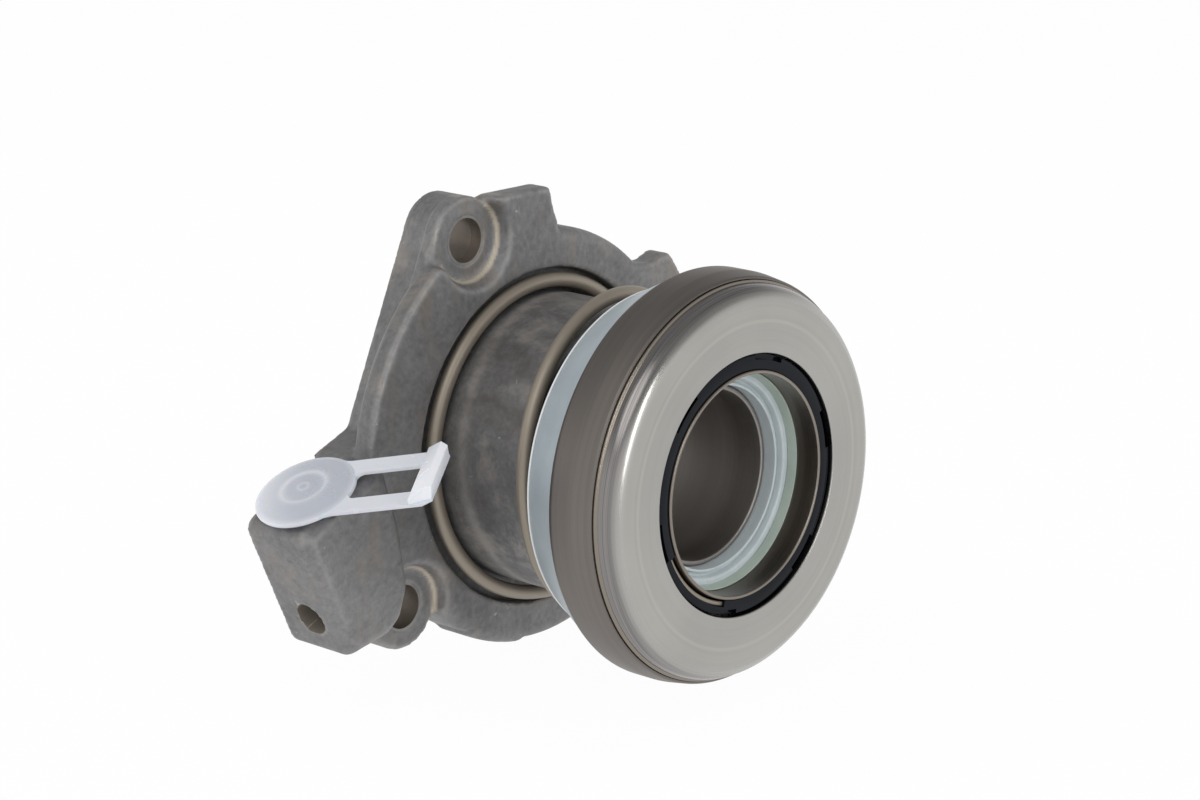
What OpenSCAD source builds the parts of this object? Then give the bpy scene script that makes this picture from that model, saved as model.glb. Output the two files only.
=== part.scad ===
// Concentric slave cylinder of a hydraulic clutch, with its release bearing and port plug.
// The shaft axis lies along Y: the mounting face looks to +Y and the bearing to -Y.

/* [Guide sleeve and piston] */
// Radius of the clear bore for the gearbox shaft
shaft_bore_r = 12.6; // [12:0.1:13.2]
// Wall of the steel guide sleeve
sleeve_wall = 0.8; // [0.6:0.05:1.2]
// How far the guide sleeve stands past the rear of the guide ring
sleeve_past_ring = 3; // [1:0.1:4.5]
// Radial thickness of the piston neck
piston_wall = 2.55; // [2.2:0.05:3]
// Wall of the steel carrier tube
tube_wall = 0.8; // [0.6:0.05:1]
// How far the piston land stands out past the carrier tube
land_out = 2; // [1.8:0.1:2.6]
// Length of the piston land
land_len = 1.5; // [1.2:0.1:2.5]
// Length of the lip seal behind the piston
seal_len = 3.8; // [3:0.1:4.4]
// Release travel of the piston
stroke = 14; // [10:0.5:16]
// Length of the white guide ring
guide_ring_len = 5.5; // [4:0.1:6]
// Length of the wiper band ahead of the guide ring
wiper_len = 1.4; // [1:0.1:2]

/* [Pressure cylinder] */
// Thickness of the housing under the pressure chamber
chamber_floor = 4.2; // [4:0.1:4.8]
// Wall of the pressure cylinder
cylinder_wall = 3; // [2.4:0.1:3.6]
// Thickness of the stop ring at the cylinder mouth
stop_ring_t = 0.9; // [0.7:0.1:1.2]

/* [Flange] */
// Thickness of the flange
flange_t = 9; // [8.6:0.1:10]
// Width of the rim outside the spring recess
flange_rim = 6; // [5.5:0.1:7]
// How far the raised wing on the left stands out past the flange disc
wing_out = 4.8; // [4:0.1:5.2]
// Rounding of the flange's front edge
flange_edge_r = 2; // [1:0.1:2.5]
// Depth of the spring recess in the flange
recess_depth = 2.5; // [2.1:0.1:2.6]
// How far the raised sector of the lower rim stands out
rim_step = 0.5; // [0.2:0.1:1]
// How far the bolt circle lies outside the flange disc
lug_out = 3; // [2:0.1:3.5]
// Radius of each fixing lug
lug_r = 6.5; // [5.8:0.1:7]
// Thickness of each fixing lug
lug_t = 6.5; // [5.5:0.1:7.5]
// Radius of each fixing hole
lug_hole_r = 3.4; // [3:0.1:3.8]
// Height of the straight ear beside the upper lug
ear_top = 38; // [36.5:0.1:38.4]

/* [Inlet block] */
// Sideways place of the port mouth
port_x = -46.2; // [-47.5:0.1:-45]
// Height of the port mouth
port_y = -0.3; // [-2:0.1:1.5]
// Direction of the port axis in the flange plane
port_angle = 116; // [114:0.5:118]
// Distance of the port axis from the mounting face
port_z = 7; // [6.6:0.1:7.4]
// Thickness of the inlet block
block_t = 13; // [12.6:0.1:14]
// Length of the inlet block along the port
block_len = 21.8; // [21:0.1:23]
// Edge bevel round the front of the inlet block
block_bevel = 1.5; // [0.6:0.1:2]
// Radius of the port bore
port_r = 5.2; // [4.8:0.1:5.4]
// Depth of the port bore
port_depth = 9.5; // [9:0.1:10.5]
// Radius of the bleed screw hole
bleed_r = 2.45; // [2.2:0.05:3]
// Distance of the bleed hole below the port mouth
bleed_down = 15.9; // [15:0.1:17]

/* [Release bearing] */
// Radius of the balls
ball_r = 2.4; // [2.1:0.05:2.6]
// Number of balls
ball_count = 18; // [14:1:20]
// Thickness of the contact ring's front wall
plate_t = 2.5; // [2:0.1:3]
// Wall of the contact ring's skirt
skirt_wall = 2.85; // [2.6:0.05:3]
// Radius of the contact ring's rolled edge
roll_r = 3; // [2.2:0.1:3.4]
// Width of the annular gap between the carrier tube and the contact ring
ring_gap_w = 2.24; // [1.9:0.02:2.4]
// Height of the notched retaining ring
retainer_len = 2.9; // [1.8:0.1:3.1]
// Thickness of the pressed shell
shell_t = 1.4; // [1.1:0.1:1.6]
// How far the shell swells out past its front lip
shell_swell = 0.4; // [0.2:0.05:0.8]
// Distance of the shell's lip behind the contact face
shell_lip_back = 4.2; // [3.9:0.1:4.5]
// Length of the spring seat behind the shell
seat_len = 7.65; // [6:0.05:8.5]
// How far the seat's floor lies inside its rear rim
seat_floor_in = 0.65; // [0.4:0.05:1]
// Wall of the spring seat
seat_wall = 0.9; // [0.7:0.05:1.2]

/* [Preload spring] */
// Radius of the spring wire
wire_r = 1.2; // [1:0.01:1.25]
// Active turns of the spring
spring_turns = 0.92; // [0.7:0.01:1.2]
// Closed turns at each end of the spring
closed_turns = 0.74; // [0.6:0.01:0.9]

/* [Port plug] */
// Radius of the plug's disc
plug_disc_r = 7.6; // [7:0.1:8]
// Thickness of the plug's disc and arms
plug_t = 0.9; // [0.8:0.1:1.6]
// Overall width of the pull loop
loop_w = 11.8; // [10.5:0.1:12]
// Width of each arm of the pull loop
loop_arm_w = 3.15; // [2.4:0.05:3.4]
// Distance from the disc's centre to the end of the pull loop
loop_reach = 20.8; // [18:0.1:22]
// Depth of the loop's cross bar along its reach
loop_bar = 3.3; // [2.6:0.1:4]
// Direction of the pull loop about the port axis
loop_angle = -63.6; // [-70:0.1:-58]

/* [Clearances] */
// Radial clearance of sliding and seated fits
run_gap = 0.05; // [0.03:0.01:0.08]
// Clearance round turning bearing parts
turn_gap = 0.4; // [0.3:0.05:0.5]
// Clearance of the balls in their races
race_gap = 0.1; // [0.08:0.01:0.14]
// Radial float of the self-centring bearing on its tube
float_gap = 0.4; // [0.3:0.05:0.5]
// Axial clearance left at the end of the stroke
end_gap = 0.4; // [0.3:0.1:0.8]

/* [Hidden] */
$fn = 96;
eps = 0.01;
chamfer = 0.3;
over = 1;
split_w = 4;

// Radii, from the shaft outwards
sleeve_r = shaft_bore_r + sleeve_wall;
piston_in_r = sleeve_r + 4 * run_gap;
piston_neck_r = piston_in_r + piston_wall;
tube_in_r = piston_neck_r + run_gap;
tube_r = tube_in_r + tube_wall;
bore_r = tube_r + land_out;
cylinder_r = bore_r + cylinder_wall;
spring_clear = 0.6;
recess_clear = 0.7;
race_out = 1.5;
collar_out = 0.2;
lip_t = 0.4;
web_clear = 0.3;
seat_clear = 0.19;
spring_r = cylinder_r + spring_clear + wire_r;
recess_r = spring_r + wire_r + recess_clear;
flange_r = recess_r + flange_rim;
race_r = ball_r + race_gap;
ball_circle_r = cylinder_r + race_out;
ring_in_r = tube_r + float_gap;
ring_hole_r = tube_r + ring_gap_w;
skirt_in_r = ball_circle_r + race_r;
contact_r = skirt_in_r + skirt_wall;
collar_r = contact_r + collar_out;
shell_in_r = collar_r + turn_gap;
lip_r = shell_in_r + lip_t;
shell_r = lip_r + shell_swell;
web_r = cylinder_r + web_clear;
shell_web_r = cylinder_r + 2 * web_clear;
seat_rear_r = spring_r + wire_r + seat_clear + seat_wall;

// Heights above the mounting face, from the chamber forwards
mouth_lip = 0.6;
carrier_t = 1.2;
race_floor = 0.7;
tube_back = 0.3;
wiper_back = 4.3;
race_shoulder = 0.9;
shell_back = 3.3;
shell_corner_r = 1;
seal_z = chamber_floor + stroke + end_gap;
land_z = seal_z + seal_len;
stop_z = land_z + land_len + 2 * run_gap;
stop_r = bore_r + 2 * chamfer;
mouth_z = stop_z + stop_ring_t + mouth_lip;
carrier_z = mouth_z + stroke + end_gap;
bearing_z = carrier_z + carrier_t;
ball_z = bearing_z + ball_r + race_floor;
plate_z = ball_z + race_r;
contact_z = plate_z + plate_t;
tube_front_z = contact_z - tube_back;
wiper_front_z = contact_z - wiper_back;
guide_front_z = wiper_front_z - wiper_len;
guide_rear_z = guide_front_z - guide_ring_len;
sleeve_front_z = guide_rear_z + sleeve_past_ring;
race_front_z = ball_z + race_shoulder;
shell_z = bearing_z - shell_back;
race_flange_z = shell_z + shell_t;
race_flange_t = 1.5;
skirt_z = race_flange_z + race_flange_t + turn_gap;
lip_z = contact_z - shell_lip_back;
seat_rear_z = shell_z - seat_len;
seat_z = seat_rear_z + seat_floor_in;
seat_floor_t = 1.2;
recess_z = flange_t - recess_depth;

// Seals and rings at the mounting face
sleeve_flange_w = 2.4;
sleeve_flange_r = sleeve_r + sleeve_flange_w;
sleeve_flange_t = 1.2;
o_ring_r = 0.85;
sleeve_o_ring_up = 1.6;
sleeve_o_ring_z = sleeve_flange_t + sleeve_o_ring_up;
face_o_ring_out = 2.6;
face_o_ring_r = sleeve_flange_r + face_o_ring_out;
washer_t = 0.6;
ring_front_z = race_front_z + washer_t;
retainer_r = ring_hole_r - turn_gap + run_gap;
retainer_z = ring_front_z + retainer_len;
snap_w = 0.7;
retainer_lip = 0.4;
snap_r = tube_r + run_gap + snap_w;
snap_z = retainer_z - retainer_lip - run_gap - snap_w;

// Fixing lugs: directions of the upper, lower and far lug about the axis
lug_angles = [113.5, 217, 345];
lug_circle_r = flange_r + lug_out;
spotface_rim = 0.6;
spotface_r = lug_r - spotface_rim;
spotface_slope = 0.48;
spotface_h = flange_t - lug_t + over;
upper_lug = polar(lug_circle_r, lug_angles[0]);
lower_lug = polar(lug_circle_r, lug_angles[1]);

// Port frame: v runs out of the port, u runs across it towards the shaft
port_v = [cos(port_angle), sin(port_angle)];
port_u = [port_v.y, -port_v.x];
block_back = 0.5;
block_right = 10.6;
block_corner_r = 1.8;
block_outline = [
    [-7.6, 0], [-8.3, -block_len], [-0.1, -block_len - 2.2], [2.9, -block_len - 1.5],
    [6.3, -block_len + 2], [9, -block_len + 11], [block_right, 0]
];
web_out = 4.9;
web_foot = port_point([block_right, 0]) + web_out * unit([0.94, 0.34]);
left_edge = unit(web_foot - upper_lug);
left_start = upper_lug - lug_r * turned_by(left_edge);
web_t = lug_t - 0.5;
// Raised wing from the upper lug past the inlet block to the lower lug
wing_r = flange_r + wing_out;
wing_z = web_t - 0.4;
wing_edge_r = 2 * chamfer;
wing_from = 120;
wing_to = 212;
ear_z = 4.9;
ear_base = 27;
rim_step_from = 242;
rim_step_sweep = 20;
rim_step_z = 0.6;
channel_r = 0.9;
channel_z = min(chamber_floor + channel_r + 0.15, recess_z - channel_r - 0.3);

function polar(r, a) = [r * cos(a), r * sin(a)];
function unit(v) = v / norm(v);
function turned_by(v) = [-v.y, v.x];
function port_point(p) = [port_x, port_y] + p.x * port_u + p.y * port_v;
function shortest(a) = a > 180 ? a - 360 : a < -180 ? a + 360 : a;

// One polygon corner at b, between a and c, as an arc of radius r
function corner(a, b, c, r, n) =
    r <= 0 ? [b] :
    let (
        u = unit(a - b),
        w = unit(c - b),
        half = acos(u * w) / 2,
        m = b + unit(u + w) * r / sin(half),
        s = b + u * r / tan(half) - m,
        e = b + w * r / tan(half) - m,
        from = atan2(s.y, s.x),
        sweep = shortest(atan2(e.y, e.x) - from)
    )
    [for (i = [0:n]) m + polar(r, from + sweep * i / n)];

// Outline with a radius for each corner
function rounded(p, radii, n = 6) = [
    for (i = [0:len(p) - 1])
        each corner(p[(i + len(p) - 1) % len(p)], p[i], p[(i + 1) % len(p)], radii[i], n)
];
function all_round(p, r, n = 4) = rounded(p, [for (q = p) r], n);

// Convex outline, running anticlockwise, with every edge moved in by d
function inset(p, d) = [
    for (i = [0:len(p) - 1])
        let (
            n1 = turned_by(unit(p[i] - p[(i + len(p) - 1) % len(p)])),
            n2 = turned_by(unit(p[(i + 1) % len(p)] - p[i]))
        )
        p[i] + (n1 + n2) * d / (1 + n1 * n2)
];

// Lays the shaft axis along -Y
module installed() {
    rotate([90, 0, 0]) children();
}

// Profile corners, as [radius, height], turned about the shaft axis
module turned(p) {
    installed() rotate_extrude() polygon(p);
}

module ring(r_in, r_out, z, h) {
    turned([[r_in, z], [r_out, z], [r_out, z + h], [r_in, z + h]]);
}

module o_ring(r, z) {
    installed() rotate_extrude() translate([r, z]) circle(o_ring_r, $fn = 32);
}

// Puts Z along the port axis, out of the block, with X towards the shaft
module at_port() {
    translate([port_x, port_y, port_z]) rotate([0, 0, port_angle - 90]) rotate([-90, 0, 0]) children();
}

module lug_places() {
    for (a = lug_angles) rotate([0, 0, a]) translate([lug_circle_r, 0, 0]) children();
}

// Flange disc with its rounded front edge and the cylinder that stands on it
module flange_and_cylinder() {
    rotate_extrude() polygon(concat(
        [[sleeve_r, 0], [flange_r, 0]],
        corner([flange_r, 0], [flange_r, flange_t], [0, flange_t], flange_edge_r, 6),
        [[recess_r, flange_t], [recess_r, recess_z], [cylinder_r, recess_z]],
        corner([cylinder_r, 0], [cylinder_r, mouth_z], [0, mouth_z], 2 * chamfer, 3),
        [[bore_r + chamfer, mouth_z], [bore_r, mouth_z - chamfer], [bore_r, chamber_floor],
         [sleeve_r, chamber_floor]]
    ));
}

// Low web between the lugs and the inlet block, and the raised wing on it
module left_side() {
    linear_extrude(web_t) polygon([
        left_start, web_foot, port_point([block_right, 0]) - [2, 1], port_point([4, -block_len + 2]),
        lower_lug, [0, 0], upper_lug
    ]);
    rotate([0, 0, wing_from]) rotate_extrude(angle = wing_to - wing_from) polygon(concat(
        [[recess_r, wing_z], [wing_r, wing_z]],
        corner([wing_r, wing_z], [wing_r, flange_t], [0, flange_t], wing_edge_r, 4),
        [[recess_r, flange_t]]
    ));
}

// Upper lug's floor, which runs out to the left edge past the end of the wing
module lug_floor_cut() {
    translate([upper_lug.x, upper_lug.y, lug_t]) linear_extrude(block_t) polygon([
        [-1.7, -3.3], [-6.7, -2.9], [-13, -0.8], [-13, 2 * lug_r], [-1.7, 2 * lug_r]
    ]);
}

// Far lug's flanks, and the two ears on the upper rim
module ribs_and_ears() {
    rotate([0, 0, lug_angles[2]]) linear_extrude(lug_t) polygon([
        [lug_circle_r, -lug_r], [lug_circle_r, lug_r],
        [recess_r, 2 * lug_r], [recess_r, -2 * lug_r]
    ]);
    translate([0, 0, ear_z]) linear_extrude(flange_t - ear_z) polygon(rounded(
        [[-10, ear_base], [4.6, ear_base], [3.3, ear_top - 5.5], [2.5, ear_top - 3.5], [1.6, ear_top],
         [-10, ear_top]],
        [0, 0, 0, 0, 0.7, 0], 4));
    translate([0, 0, ear_z]) linear_extrude(flange_t - ear_z) polygon(rounded(
        [[20, 21], [30, 14], [31.5, 19.6], [29.4, 22.6], [28.1, 23.9], [24.6, 22.6], [21, 23]],
        [0, 0, 1, 1, 1, 1, 0], 4));
}

// Solid block that the fluid port and the bleed hole are drilled in
module inlet_block() {
    outline = [for (p = block_outline) port_point(p)];
    top = inset(outline, block_bevel);
    hull() {
        translate([0, 0, block_back]) linear_extrude(block_t - block_back - block_bevel)
            polygon(all_round(outline, block_corner_r));
        translate([0, 0, block_t - eps]) linear_extrude(eps) polygon(all_round(top, block_corner_r * 2 / 3));
    }
}

// Bored port, bleed hole and the drilling that joins them to the pressure chamber
module fluid_ways() {
    drill_r = 1.6;
    bleed_drill_r = 1.2;
    bleed_seat = 2;
    at_port() {
        translate([0, 0, -port_depth]) cylinder(r = port_r, h = port_depth + over);
        translate([0, 0, -port_depth - 2 * drill_r]) cylinder(r = 2 * drill_r, h = 2 * drill_r + over);
        translate([0, 0, -bleed_down - drill_r]) cylinder(r = drill_r, h = bleed_down);
        translate([0, 0, -bleed_down]) rotate([0, -90, 0]) {
            cylinder(r = bleed_drill_r, h = bleed_seat + over);
            translate([0, 0, bleed_seat]) cylinder(r = bleed_r, h = block_right);
        }
    }
    start = port_point([0, -bleed_down]);
    translate([0, 0, channel_z]) rotate([0, 0, atan2(start.y, start.x)]) rotate([0, 90, 0])
        translate([0, 0, bore_r - over]) cylinder(r = channel_r, h = norm(start) - bore_r + over);
}

module housing() {
    step_r = flange_r + rim_step;
    color([0.42, 0.41, 0.40]) installed() difference() {
        union() {
            flange_and_cylinder();
            difference() {
                union() {
                    left_side();
                    ribs_and_ears();
                    lug_places() cylinder(r = lug_r, h = lug_t);
                }
                translate([0, 0, chamber_floor]) cylinder(r = recess_r + over, h = flange_t);
                translate([0, 0, -over]) cylinder(r = sleeve_r + over, h = flange_t + 2 * over);
                lug_floor_cut();
            }
            inlet_block();
            rotate([0, 0, rim_step_from]) rotate_extrude(angle = rim_step_sweep) polygon(concat(
                [[step_r - flange_edge_r, rim_step_z], [step_r, rim_step_z]],
                corner([step_r, 0], [step_r, flange_t], [0, flange_t], flange_edge_r, 6)
            ));
        }
        lug_places() {
            translate([0, 0, -over]) cylinder(r = lug_hole_r, h = lug_t + 2 * over);
            translate([0, 0, lug_t])
                cylinder(r1 = spotface_r, r2 = spotface_r + spotface_slope * spotface_h, h = spotface_h);
            translate([0, 0, flange_t]) cylinder(r = spotface_r, h = block_t);
            translate([0, 0, lug_t - chamfer / 2])
                cylinder(r1 = lug_hole_r, r2 = lug_hole_r + 2 * chamfer, h = 2 * chamfer);
        }
        fluid_ways();
        translate([0, 0, -over]) cylinder(r = sleeve_r + run_gap, h = chamber_floor + 2 * over);
        translate([0, 0, -over])
            cylinder(r = sleeve_flange_r + run_gap, h = over + sleeve_flange_t + run_gap);
        translate([0, 0, sleeve_o_ring_z - o_ring_r - run_gap])
            cylinder(r = sleeve_r + 2 * o_ring_r + 2 * run_gap, h = 2 * (o_ring_r + run_gap));
        rotate_extrude() translate([face_o_ring_r - o_ring_r - run_gap, -eps])
            square([2 * (o_ring_r + run_gap), 2 * o_ring_r + 2 * run_gap]);
        translate([0, 0, stop_z - run_gap]) cylinder(r = stop_r + run_gap, h = stop_ring_t + 2 * run_gap);
    }
}

module guide_sleeve() {
    color([0.72, 0.72, 0.70]) turned([
        [shaft_bore_r, run_gap], [sleeve_flange_r, run_gap], [sleeve_flange_r, sleeve_flange_t],
        [sleeve_r, sleeve_flange_t], [sleeve_r, sleeve_front_z - chamfer],
        [sleeve_r - chamfer, sleeve_front_z], [shaft_bore_r, sleeve_front_z]
    ]);
}

module sleeve_o_ring() {
    color([0.08, 0.08, 0.08]) o_ring(sleeve_r + o_ring_r + run_gap, sleeve_o_ring_z);
}

module face_o_ring() {
    color([0.08, 0.08, 0.08]) o_ring(face_o_ring_r, o_ring_r + run_gap);
}

// Block that opens a ring at angle a
module ring_gap(a, r_in, r_out, z, h) {
    rotate([0, 0, a]) translate([r_in - over, -split_w / 2, z]) cube([r_out - r_in + 2 * over, split_w, h]);
}

// Snap ring with a gap, in its groove at the cylinder mouth
module stop_ring() {
    color([0.55, 0.54, 0.52]) installed() translate([0, 0, stop_z]) difference() {
        cylinder(r = stop_r, h = stop_ring_t);
        translate([0, 0, -over]) cylinder(r = tube_r + chamfer, h = stop_ring_t + 2 * over);
        ring_gap(80, tube_r, stop_r, -over, stop_ring_t + 2 * over);
    }
}

// Height of the wire's centre, s turns after its rear end: two closed ends and one open rise between them
coil_start_a = 320;
closed_pitch = 2 * wire_r + run_gap;
coil_turns = spring_turns + 2 * closed_turns;
coil_start_z = recess_z + wire_r + run_gap;
coil_rise = seat_z - wire_r - run_gap - coil_start_z - closed_pitch * coil_turns;
function ease(t) = t <= 0 ? 0 : t >= 1 ? 1 : t * t * (3 - 2 * t);
function coil_z(s) = coil_start_z + closed_pitch * s + coil_rise * ease((s - closed_turns) / spring_turns);

module preload_spring() {
    sides = 10;
    rings = ceil(coil_turns * 36);
    points = [
        for (i = [0:rings])
            let (s = coil_turns * i / rings, a = coil_start_a + 360 * s)
            for (k = [0:sides - 1])
                let (r = spring_r + wire_r * cos(360 * k / sides))
                [r * cos(a), r * sin(a), coil_z(s) + wire_r * sin(360 * k / sides)]
    ];
    walls = [
        for (i = [0:rings - 1])
            for (k = [0:sides - 1])
                let (a = i * sides + k, b = i * sides + (k + 1) % sides)
                [a, a + sides, b + sides, b]
    ];
    caps = [
        [for (k = [0:sides - 1]) k],
        [for (k = [0:sides - 1]) rings * sides + sides - 1 - k]
    ];
    color([0.45, 0.40, 0.34]) installed() polyhedron(points, concat(walls, caps));
}

module piston() {
    color([0.25, 0.25, 0.26]) turned([
        [piston_in_r, land_z], [bore_r - 2 * run_gap, land_z], [bore_r - 2 * run_gap, land_z + land_len],
        [piston_neck_r, land_z + land_len], [piston_neck_r, guide_rear_z - run_gap],
        [piston_in_r, guide_rear_z - run_gap]
    ]);
}

// Double lip seal, open towards the pressure chamber
module piston_seal() {
    in_r = sleeve_r + run_gap;
    out_r = bore_r - run_gap;
    mid = (in_r + out_r) / 2;
    lip_t = 0.65;
    lip_len = 1.1;
    groove_z = seal_z + seal_len * 0.55;
    color([0.10, 0.10, 0.11]) turned([
        [in_r, seal_z], [in_r + lip_t, seal_z], [mid - lip_t, groove_z], [mid + lip_t, groove_z],
        [out_r - lip_t, seal_z], [out_r, seal_z], [out_r, seal_z + lip_len], [out_r - 2 * run_gap, land_z],
        [in_r + 2 * run_gap, land_z], [in_r, seal_z + lip_len]
    ]);
}

// Drawn steel tube with the flange that pushes the bearing
module carrier_tube() {
    rear = land_z + land_len + run_gap;
    flange_out = cylinder_r - 2 * run_gap;
    color([0.47, 0.44, 0.40]) turned(concat(
        [[tube_in_r, rear], [tube_r, rear], [tube_r, carrier_z], [flange_out, carrier_z],
         [flange_out, bearing_z], [tube_r, bearing_z]],
        corner([tube_r, 0], [tube_r, tube_front_z], [0, tube_front_z], chamfer, 3),
        [[tube_in_r + chamfer / 2, tube_front_z], [tube_in_r, tube_front_z - chamfer]]
    ));
}

module guide_ring() {
    in_r = sleeve_r + 2 * run_gap;
    out = tube_in_r - run_gap;
    color([0.86, 0.90, 0.90]) turned([
        [in_r, guide_rear_z], [out, guide_rear_z], [out, guide_front_z], [in_r + chamfer, guide_front_z],
        [in_r, guide_front_z - 2 * chamfer]
    ]);
}

module wiper_ring() {
    out = tube_in_r - run_gap;
    color([0.70, 0.80, 0.74]) turned([
        [out - 2 * chamfer, guide_front_z + run_gap], [out, guide_front_z + run_gap],
        [out, wiper_front_z], [out - chamfer / 2, wiper_front_z]
    ]);
}

// Inner race of the bearing, with the plate that the shell is pressed over
module fixed_race() {
    plate_out = shell_in_r - run_gap;
    plate_front = race_flange_z + race_flange_t;
    color([0.55, 0.54, 0.52]) installed() rotate_extrude() difference() {
        polygon([
            [ring_in_r, bearing_z], [web_r, bearing_z], [web_r, race_flange_z], [plate_out, race_flange_z],
            [plate_out, plate_front], [ball_circle_r + race_floor, plate_front],
            [ball_circle_r, bearing_z - chamfer], [cylinder_r, race_front_z], [ring_in_r, race_front_z]
        ]);
        translate([ball_circle_r, ball_z]) circle(race_r, $fn = 48);
    }
}

// Pressed steel shell that swells out behind the contact ring
module bearing_shell() {
    lip_run = 2.6;
    lip_curve_r = 10;
    color([0.42, 0.39, 0.36]) turned(concat(
        [[shell_web_r, shell_z]],
        corner([0, shell_z], [shell_r, shell_z], [shell_r, lip_z], shell_corner_r, 5),
        corner([shell_r, shell_z], [shell_r, lip_z - lip_run], [lip_r, lip_z], lip_curve_r, 5),
        [[lip_r, lip_z], [shell_in_r, lip_z], [shell_in_r, race_flange_z],
         [shell_web_r, race_flange_z]]
    ));
}

// Pale plastic cup between the spring and the shell
module spring_seat() {
    front_r = shell_r - shell_corner_r / 2;
    in_r = seat_rear_r - seat_wall;
    line = 0.15;
    color([0.66, 0.70, 0.73]) turned([
        [shell_web_r, seat_z], [in_r, seat_z], [in_r, seat_rear_z], [seat_rear_r - line, seat_rear_z],
        [seat_rear_r - line, seat_rear_z + 2 * line], [seat_rear_r - 2 * line, seat_rear_z + 3 * line],
        [seat_rear_r, seat_rear_z + 5 * line], [front_r, shell_z], [front_r - seat_wall, shell_z],
        [in_r, seat_z + seat_floor_t], [shell_web_r, seat_z + seat_floor_t]
    ]);
}

// Notched ring that keeps the bearing on its tube, with a seat for the snap ring
module retaining_ring() {
    notches = 6;
    notch_w = 6;
    notch_cut = 0.8;
    window_from = 205;
    window_a = 50;
    color([0.05, 0.05, 0.06]) installed() difference() {
        rotate_extrude() polygon([
            [tube_r + run_gap, ring_front_z + run_gap], [retainer_r, ring_front_z + run_gap],
            [retainer_r, retainer_z - chamfer], [retainer_r - chamfer, retainer_z],
            [tube_r + run_gap, retainer_z], [tube_r + run_gap, retainer_z - retainer_lip],
            [snap_r + run_gap, retainer_z - retainer_lip], [snap_r + run_gap, snap_z - run_gap],
            [tube_r + run_gap, snap_z - run_gap]
        ]);
        for (i = [0:notches - 1])
            rotate([0, 0, 360 * (i + 0.25) / notches])
                translate([retainer_r - notch_cut, -notch_w / 2, retainer_z - notch_cut])
                    cube([2 * notch_cut, notch_w, 2 * notch_cut]);
        rotate([0, 0, window_from]) rotate_extrude(angle = window_a) translate([tube_r, snap_z - run_gap / 2])
            square([snap_r + run_gap / 2 - tube_r, snap_w + 2 * over]);
    }
}

// Split wire ring that holds the retaining ring on the tube
module snap_ring() {
    color([0.45, 0.40, 0.34]) difference() {
        ring(tube_r + run_gap, snap_r, snap_z, snap_w);
        installed() ring_gap(60, tube_r, snap_r, snap_z - over, snap_w + 2 * over);
    }
}

// Spring washer that lets the bearing centre itself
module centring_washer() {
    color([0.50, 0.50, 0.50])
        ring(tube_r + 4 * run_gap, retainer_r, race_front_z + run_gap, washer_t - 2 * run_gap);
}

// Turning outer race, with the flat face that meets the clutch fingers
module contact_ring() {
    groove_z = contact_z - roll_r;
    groove = 0.15;
    color([0.72, 0.72, 0.70]) installed() rotate_extrude() difference() {
        polygon(concat(
            [[skirt_in_r, skirt_z], [collar_r, skirt_z], [collar_r, groove_z - 3 * groove],
             [contact_r - groove, groove_z - 2 * groove], [contact_r - groove, groove_z - groove],
             [contact_r, groove_z]],
            corner([contact_r, 0], [contact_r, contact_z], [0, contact_z], roll_r, 8),
            [[ring_hole_r + chamfer, contact_z], [ring_hole_r, contact_z - chamfer], [ring_hole_r, plate_z],
             [ball_circle_r, plate_z], [skirt_in_r, ball_z]]
        ));
        translate([ball_circle_r, ball_z]) circle(race_r, $fn = 48);
    }
}

module grease_seal() {
    lap = 0.1;
    color([0.12, 0.12, 0.12])
        ring(ring_hole_r + turn_gap - run_gap, ball_circle_r - ball_r + lap, ring_front_z - lap,
             plate_z - ring_front_z + lap - run_gap);
}

module ball_places() {
    installed() for (i = [0:ball_count - 1])
        rotate([0, 0, 360 * i / ball_count]) translate([ball_circle_r, 0, ball_z]) children();
}

// Window cage that spaces the balls
module ball_cage() {
    in_r = ball_circle_r + race_gap;
    cage_t = 1.3;
    cage_back = 0.45;
    cage_up = 1.9;
    rear_z = ball_z - race_r - cage_back;
    color([0.55, 0.42, 0.22]) difference() {
        ring(in_r, in_r + cage_t, rear_z, ball_z + cage_up - rear_z);
        ball_places() sphere(r = race_r, $fn = 48);
    }
}

module balls() {
    color([0.80, 0.80, 0.82]) ball_places() sphere(r = ball_r, $fn = 48);
}

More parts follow.
